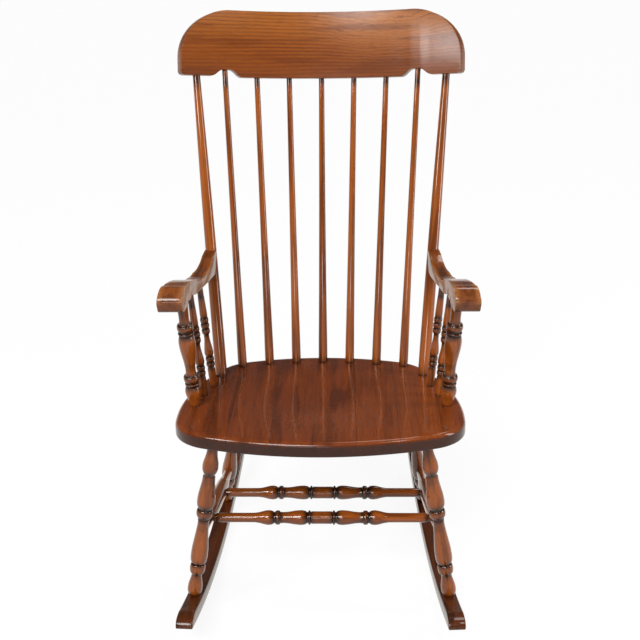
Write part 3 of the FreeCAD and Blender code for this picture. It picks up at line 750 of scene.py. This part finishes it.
def markEdges(work, isEdge, glazeAndShadeShare=0.0, wearAndHighlightShare=0.0):
    glaze = work.verts.layers.float.new("glaze")
    wear = work.verts.layers.float.new("wear")
    for vertex in work.verts:
        share = isEdge(vertex)
        vertex[glaze] = glazeAndShadeShare * share
        vertex[wear] = wearAndHighlightShare * share


# rockers

rockerBoard = {"span": 760, "tipHeight": 16, "ease": 4.5}
toe = math.radians(rockerLine["toeIn"])
reach = rockerLine["width"] / 2 * math.sin(toe)
frontRunOut = (rockerBoard["span"] / 2 + rockerLine["rest"] - reach) / math.cos(toe)
rearRunOut = (rockerBoard["span"] / 2 - rockerLine["rest"] - reach) / math.cos(toe)


def drop(run, radius):
    return radius - math.sqrt(radius ** 2 - run ** 2)


def arcBulge(start, end, radius):
    chord = math.dist(start, end)
    return radius - math.sqrt(radius ** 2 - chord ** 2 / 4)


def rockerOutline():
    radius, height = rockerLine["radius"], rockerLine["height"]
    topRadius = radius - height
    front = (-frontRunOut, drop(frontRunOut, radius))
    rear = (rearRunOut, drop(rearRunOut, radius))
    frontShoulder = (-frontRunOut * 0.9, height + drop(frontRunOut * 0.9, topRadius))
    rearShoulder = (rearRunOut * 0.9, height + drop(rearRunOut * 0.9, topRadius))
    tip = rockerBoard["tipHeight"]
    return [
        (*front, arcBulge(front, rear, radius)),
        (rear[0], rear[1], 0.6),
        (rear[0] - 1.5, rear[1] + tip * 0.5, 2.4),
        (rear[0] - 14, rear[1] + tip, 0.6),
        (*rearShoulder, -arcBulge(frontShoulder, rearShoulder, topRadius)),
        (*frontShoulder, 0.6),
        (front[0] + 14, front[1] + tip, 2.4),
        (front[0] + 1.5, front[1] + tip * 0.5, 0.6),
    ]


rockerWork = sawnBoard(rockerOutline(), rockerLine["width"], range(-320, 421, 20), 9)
easeEdges(rockerWork, rockerBoard["ease"], 4, 50)
markEdges(rockerWork, lambda vertex: 0.0)
storeBlank(rockerWork, nextGrain(), Matrix.Rotation(math.radians(-90), 3, "Y"))
# the board's X runs to the rear and its Z across
bmesh.ops.transform(rockerWork, verts=rockerWork.verts, matrix=(
    Matrix.Translation(mm(rockerLine["spacing"] / 2, rockerLine["rest"], 0))
    @ Matrix.Rotation(toe, 4, "Z")
    @ Matrix.Translation(mm(-rockerLine["width"] / 2, 0, 0))
    @ Matrix(((0, 0, 1, 0), (1, 0, 0, 0), (0, 1, 0, 0), (0, 0, 0, 1)))))
leftRocker = flipped(rockerWork)
finishPiece(rockerWork, "rocker_right_sawn", ["rocker_right"], rockerFinish)
finishPiece(leftRocker, "rocker_left_sawn", ["rocker_left"], rockerFinish)
print("rockers sawn")

# crest rail

crestBoard = {"width": 562, "height": 134, "corner": 95, "ease": 3.5}


def crestOutline():
    half, height, corner = crestBoard["width"] / 2, crestBoard["height"], crestBoard["corner"]
    sag = corner * (1 - math.sqrt(0.5))
    right = [
        (163, 2, 0.9), (173.5, 9.6, -0.9), (184, 17.2, 0), (201, 17.2, -0.8), (211, 11, 0.8),
        (221, 5, 0), (half - 7, 5, 2), (half, 12, 0), (half, height - corner, sag),
        (half - corner, height, 0),
    ]
    left = []
    for place in range(len(right) - 1, -1, -1):
        x, y = right[place][:2]
        left.append((-x, y, right[place - 1][2] if place else 0.8))
    outline = right + left
    outline[len(right) - 1] = (*outline[len(right) - 1][:2], -1.6)
    return outline


crestWork = sawnBoard(crestOutline(), crestLine["thickness"], range(-272, 273, 8), 5)
easeEdges(crestWork, crestBoard["ease"], 4, 50)
markEdges(crestWork, lambda vertex: 0.0)
storeBlank(crestWork, 0, Matrix.Rotation(math.radians(-90), 3, "Y"))
for vertex in crestWork.verts:
    x, up, deep = vertex.co * 1000
    angle = math.asin(x / crestLine["bend"])
    vertex.co = metres(onCrest(angle * crestLine["bend"], up, deep - crestLine["thickness"] / 2))
finishPiece(crestWork, "crest_rail_bent", ["crest_rail"], crestFinish)
print("crest rail bent")

# arms

armBoard = {"rear": 52, "floor": 597, "ease": 4.0}
armProfile = [
    (6, 4.5, 0), (70, 9.5, 0.5), (190, 22, 1.5), (232, 34, 4), (262, 33, 3), (272, 25, 0),
    (299, 24, 3.5), (309, 34, 4.5), (305, 56, 5), (276, 65.5, 3.5), (196, 51, -3.2),
    (132, 33.5, -2), (96, 33, -5), (24, 45, 0.5), (-5, 49, 0),
]
armPlan = {
    "inner": [(-8, 213), (140, 227), (318, 244)],
    "outer": [(-8, 236), (140, 258), (312, 289)],
    "innerBulge": -1.0, "outerBulge": -2.0,
}


def armSide(points, bulge, forward):
    for (start, low), (end, high) in zip(points, points[1:]):
        if forward <= end or end == points[-1][0]:
            share = (forward - start) / (end - start)
            return blend(low, high, share) + 4 * bulge * share * (1 - share)


armWork = sawnBoard(armProfile, 1, range(6, 306, 8), 5)
for share in (0.25, 0.5, 0.75):
    bmesh.ops.bisect_plane(armWork, geom=armWork.verts[:] + armWork.edges[:] + armWork.faces[:],
                           dist=1e-6, plane_co=mm(0, 0, share), plane_no=(0, 0, 1))
for vertex in armWork.verts:
    forward, rise, share = vertex.co.x * 1000, vertex.co.y * 1000, vertex.co.z * 1000
    inner = armSide(armPlan["inner"], armPlan["innerBulge"], forward)
    outer = armSide(armPlan["outer"], armPlan["outerBulge"], forward)
    vertex.co = mm(blend(inner, outer, share), armBoard["rear"] - forward, armBoard["floor"] + rise)
bmesh.ops.recalc_face_normals(armWork, faces=armWork.faces)
easeEdges(armWork, armBoard["ease"], 4, 50)


# lighter top edges of the arms: worn stain and a painted highlight, weaker underneath and at the rear end
def armRim(vertex):
    forward = armBoard["rear"] - vertex.co.y * 1000
    inner = armSide(armPlan["inner"], armPlan["innerBulge"], forward)
    outer = armSide(armPlan["outer"], armPlan["outerBulge"], forward)
    gap = min(abs(vertex.co.x * 1000 - inner), abs(outer - vertex.co.x * 1000))
    onTop = vertex.normal.z > -0.2
    return (1 - eased((gap - 0.6) / 3.4)) * (0.9 if onTop else 0.2) * (0.5 if forward < 60 else 1.0)


armWork.normal_update()
# worn edges with a painted highlight along the arms' rims
markEdges(armWork, armRim, 0.0, 0.7)
storeBlank(armWork, nextGrain(), Matrix.Rotation(math.radians(90), 3, "X"))
leftArm = flipped(armWork)
finishPiece(armWork, "arm_right_sawn", ["arm_right"], armFinish)
finishPiece(leftArm, "arm_left_sawn", ["arm_left"], armFinish)
print("arms sawn")

# seat

seatBoard = {
    "width": 544, "depth": 464, "widest": 152, "frontRadius": 606, "sideRadius": 495,
    "rearRadius": 480, "frontCorner": 90, "rearCorner": 92, "edgeRound": 9, "lowerRound": 4,
    "scoopDepth": 7, "scoopWidth": 370, "scoopCentre": 215, "rim": 240,
}


def seatRim():
    # evenly spaced points of the outline, anticlockwise from the middle of the front
    board = seatBoard
    centres = {
        "front": (Vector((0, board["frontRadius"])), board["frontRadius"], board["frontCorner"], -1),
        "rear": (Vector((0, board["depth"] - board["rearRadius"])), board["rearRadius"],
                 board["rearCorner"], 1),
    }
    sideCentre = Vector((board["width"] / 2 - board["sideRadius"], board["widest"]))
    sideRadius = board["sideRadius"]
    arcs = {}
    for stem, (centre, radius, corner, sign) in centres.items():
        line = centre - sideCentre
        small, large = sideRadius - corner, radius - corner
        along = (small ** 2 - large ** 2 + line.length ** 2) / (2 * line.length)
        rise = math.sqrt(small ** 2 - along ** 2)
        line.normalize()
        middle = sideCentre + line * along + Vector((-line.y, line.x)) * sign * rise
        end = centre + (middle - centre).normalized() * radius
        side = sideCentre + (middle - sideCentre).normalized() * sideRadius
        arcs[stem] = (middle, end, side)

    def sweep(centre, start, end, count):
        first, last = start - centre, end - centre
        turn = math.atan2(first.x * last.y - first.y * last.x, first.dot(last))
        return [centre + Matrix.Rotation(turn * place / count, 2) @ first for place in range(count)]

    half = sweep(centres["front"][0], Vector((0, 0)), arcs["front"][1], 160)
    half += sweep(arcs["front"][0], arcs["front"][1], arcs["front"][2], 160)
    half += sweep(sideCentre, arcs["front"][2], arcs["rear"][2], 160)
    half += sweep(arcs["rear"][0], arcs["rear"][2], arcs["rear"][1], 160)
    half += sweep(centres["rear"][0], arcs["rear"][1], Vector((0, board["depth"])), 160)
    half.append(Vector((0, board["depth"])))
    lengths = [0.0]
    for before, after in zip(half, half[1:]):
        lengths.append(lengths[-1] + (after - before).length)
    count = board["rim"] // 2
    even, place = [], 0
    for number in range(count + 1):
        goal = lengths[-1] * number / count
        while place < len(half) - 2 and lengths[place + 1] < goal:
            place += 1
        share = (goal - lengths[place]) / (lengths[place + 1] - lengths[place])
        even.append(half[place].lerp(half[place + 1], share))
    return even + [Vector((-point.x, point.y)) for point in reversed(even[1:-1])]


def scoopAt(x, y):
    # the saddle: a shallow dish whose rim dies out in the flat of the seat
    depth, wide = seatBoard["scoopDepth"], seatBoard["scoopWidth"] / 2
    gap = math.hypot(x, y - seatBoard["scoopCentre"]) / wide
    return -depth * eased(1.08 - gap) if gap < 1.08 else 0.0


def buildSeat():
    board = seatBoard
    rim = seatRim()
    count = len(rim)
    normals = []
    for place, point in enumerate(rim):
        tangent = rim[(place + 1) % count] - rim[place - 1]
        normals.append(Vector((tangent.y, -tangent.x)).normalized())
    lower, upper, thick = board["lowerRound"], board["edgeRound"], seatPlane["thickness"]
    rings = []
    for part in range(0, 5):
        angle = math.pi / 2 * part / 4
        rings.append((lower * (1 - math.sin(angle)), -thick + lower * (1 - math.cos(angle))))
    for part in range(0, 8):
        angle = math.pi / 2 * part / 7
        rings.append((upper * (1 - math.cos(angle)), -upper * (1 - math.sin(angle))))
    work = bmesh.new()
    made = bmesh.ops.create_circle(work, cap_ends=True, segments=count, radius=0.1)
    loop = sorted(made["verts"], key=lambda vertex: math.atan2(vertex.co.y, vertex.co.x))
    spots = [Vector((point.x, point.y)) for point in rim]
    start = min(range(count), key=lambda place: spots[place].x if spots[place].y > 200 else 1e9)
    order = [(start + place) % count for place in range(count)]

    def settle(loop, inset, height):
        for vertex, place in zip(loop, order):
            point = rim[place] - normals[place] * inset
            vertex.co = mm(point.x, point.y, height)

    def grow(loop):
        edges = []
        for place, vertex in enumerate(loop):
            edges.append(work.edges.get((vertex, loop[(place + 1) % count])))
        result = bmesh.ops.extrude_edge_only(work, edges=edges)
        fresh = [item for item in result["geom"] if isinstance(item, bmesh.types.BMVert)]
        after = {}
        for vertex in fresh:
            for edge in vertex.link_edges:
                other = edge.other_vert(vertex)
                if other not in fresh:
                    after[other] = vertex
        return [after[vertex] for vertex in loop]

    settle(loop, *rings[0])
    for inset, height in rings[1:]:
        loop = grow(loop)
        settle(loop, inset, height)
    centre = Vector((0, board["scoopCentre"]))
    inner = [rim[place] - normals[place] * upper for place in order]
    steps = 26
    for part in range(1, steps):
        loop = grow(loop)
        for vertex, point in zip(loop, inner):
            spot = centre.lerp(point, 1 - part / steps)
            vertex.co = mm(spot.x, spot.y, 0)
    bmesh.ops.contextual_create(work, geom=loop + [
        work.edges.get((vertex, loop[(place + 1) % count])) for place, vertex in enumerate(loop)])
    for vertex in work.verts:
        if vertex.co.z > -1e-6:
            vertex.co.z = scoopAt(vertex.co.x * 1000, vertex.co.y * 1000) / 1000
    return work


seatWork = buildSeat()
# the edge faces below the top roll are darker: end grain and painted shade
markEdges(seatWork, lambda vertex: 0.0 if scoopAt(vertex.co.x * 1000, vertex.co.y * 1000)
          else eased((-vertex.co.z - 0.003) / 0.006), 0.85, 0.0)
storeBlank(seatWork, nextGrain(), Matrix.Rotation(math.radians(90), 3, "X"))
bmesh.ops.transform(seatWork, verts=seatWork.verts, matrix=(
    Matrix.Translation(mm(0, seatPlane["front"], seatPlane["height"]))
    @ Matrix.Rotation(math.radians(-seatPlane["slope"]), 4, "X")))
finishPiece(seatWork, "seat_boards", ["seat"], seatFinish, 50)
print("seat shaped")

# carried-over nodes

for node, material in (("arm_screws", steelFinish), ("arm_screw_plugs", plugFinish)):
    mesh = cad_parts[node].data
    mesh.materials.clear()
    mesh.materials.append(material)

# studio: pale floor, soft light, camera

studio = {
    "floorRadius": 60.0, "floorColour": (0.96, 0.96, 0.96), "floorBounce": (0.17, 0.15, 0.14),
    "ceiling": (0.09, 0.09, 0.095), "horizon": (0.88, 0.88, 0.88),
    "horizonTop": 0.035, "ceilingFrom": 0.09, "floorMottle": (0.885, 0.885, 0.885),
    "sunLevel": 2.6, "sunSoftness": 24.0, "floorGlow": 0.9, "rearLevel": 0.8,
}


def makeFloor():
    work = bmesh.new()
    bmesh.ops.create_circle(work, cap_ends=True, segments=64, radius=studio["floorRadius"])
    mesh = bpy.data.meshes.new("floor")
    work.to_mesh(mesh)
    work.free()
    floor = bpy.data.objects.new("floor", mesh)
    bpy.context.scene.collection.objects.link(floor)
    finish = Finish("pale floor")
    place = finish.add("ShaderNodeTexCoord", output=3)
    mottle = finish.noise(place, 3.0, 2.0)
    colour = finish.mix(mottle * 0.3, studio["floorColour"], studio["floorMottle"])
    seen = finish.add("ShaderNodeBsdfPrincipled", values={
        "Base Color": colour, "Roughness": 0.9, "Specular IOR Level": 0.1})
    glow = finish.add("ShaderNodeEmission", values={"Color": (1, 1, 1, 1), "Strength": 1.0})
    seen = finish.add("ShaderNodeMixShader", values=[studio["floorGlow"], seen, glow])
    bounced = finish.add("ShaderNodeBsdfDiffuse", values={"Color": (*studio["floorBounce"], 1)})
    rays = [finish.add("ShaderNodeLightPath", output=place) for place in (0, 3, 6)]
    share = finish.add("ShaderNodeMath", {"operation": "MAXIMUM"}, [
        rays[0], finish.add("ShaderNodeMath", {"operation": "MAXIMUM"}, rays[1:])])
    shader = finish.add("ShaderNodeMixShader", values=[share, bounced, seen])
    finish.add("ShaderNodeOutputMaterial", values=[shader])
    mesh.materials.append(finish.material)


def makeWorld():
    world = bpy.data.worlds.new("studio")
    bpy.context.scene.world = world
    world.use_nodes = True
    tree = world.node_tree
    tree.nodes.clear()
    place = tree.nodes.new("ShaderNodeTexCoord")
    parts = tree.nodes.new("ShaderNodeSeparateXYZ")
    ramp = tree.nodes.new("ShaderNodeValToRGB")
    shade = tree.nodes.new("ShaderNodeBackground")
    output = tree.nodes.new("ShaderNodeOutputWorld")
    ramp.color_ramp.elements[0].position = studio["horizonTop"]
    ramp.color_ramp.elements[0].color = (*studio["horizon"], 1)
    ramp.color_ramp.elements[1].position = studio["ceilingFrom"]
    ramp.color_ramp.elements[1].color = (*studio["ceiling"], 1)
    tree.links.new(place.outputs["Generated"], parts.inputs[0])
    tree.links.new(parts.outputs[2], ramp.inputs[0])
    tree.links.new(ramp.outputs[0], shade.inputs[0])
    tree.links.new(shade.outputs[0], output.inputs[0])


def makeLamp(name, kind, place, aim, energy, **settings):
    lamp = bpy.data.lights.new(name, kind)
    lamp.energy = energy
    for key, value in settings.items():
        setattr(lamp, key, value)
    holder = bpy.data.objects.new(name, lamp)
    bpy.context.scene.collection.objects.link(holder)
    holder.location = place
    direction = Vector(aim) - Vector(place)
    holder.rotation_euler = direction.to_track_quat("-Z", "Y").to_euler()
    return holder


makeFloor()
makeWorld()
makeLamp("soft sun", "SUN", (-0.8, -2.6, 2.6), (0, 0, 0.4), studio["sunLevel"],
         angle=math.radians(studio["sunSoftness"]))
makeLamp("rear sun", "SUN", (0.6, 1.4, 2.8), (0, 0, 0.4), studio["rearLevel"],
         angle=math.radians(studio["sunSoftness"]))
windows = {  # place, aim, watts, width, height
    "left window": ((-1.49, -1.65, 1.73), (0.23, 0.17, 1.05), 24, 0.40, 0.62),
    "right window": ((1.35, -1.75, 3.0), (0, 0, 0.6), 14, 0.40, 0.6),
    "side window": ((2.25, -0.5, 1.3), (0, 0, 0.8), 34, 0.50, 1.7),
    "low window": ((-0.3, -3.3, 0.9), (0, 0, 0.6), 8, 1.0, 0.25),
}
for name, (place, aim, energy, wide, tall) in windows.items():
    makeLamp(name, "AREA", place, aim, energy, shape="RECTANGLE", size=wide, size_y=tall)

# the photograph's viewing angle, in metres and degrees
view = {"lens": 68.006, "sensor": 36.0, "place": (0.05009, -2.2872, 1.3436),
        "pitch": 19.902, "yaw": -1.345, "roll": -0.593}
camera = bpy.data.cameras.new("camera")
camera.lens = view["lens"]
camera.sensor_width = view["sensor"]
camera.clip_end = 200.0
holder = bpy.data.objects.new("camera", camera)
bpy.context.scene.collection.objects.link(holder)
pitch, yaw, roll = (math.radians(view[key]) for key in ("pitch", "yaw", "roll"))
forward = Vector((math.sin(yaw) * math.cos(pitch), math.cos(yaw) * math.cos(pitch),
                  -math.sin(pitch)))
right = Vector((math.cos(yaw), -math.sin(yaw), 0))
up = right.cross(forward)
axisX = right * math.cos(roll) + up * math.sin(roll)
axisY = up * math.cos(roll) - right * math.sin(roll)
turn = Matrix((axisX, axisY, -forward)).transposed().to_4x4()
holder.matrix_world = Matrix.Translation(view["place"]) @ turn
bpy.context.scene.camera = holder
bpy.context.scene.view_settings.view_transform = "Standard"
print("studio ready")
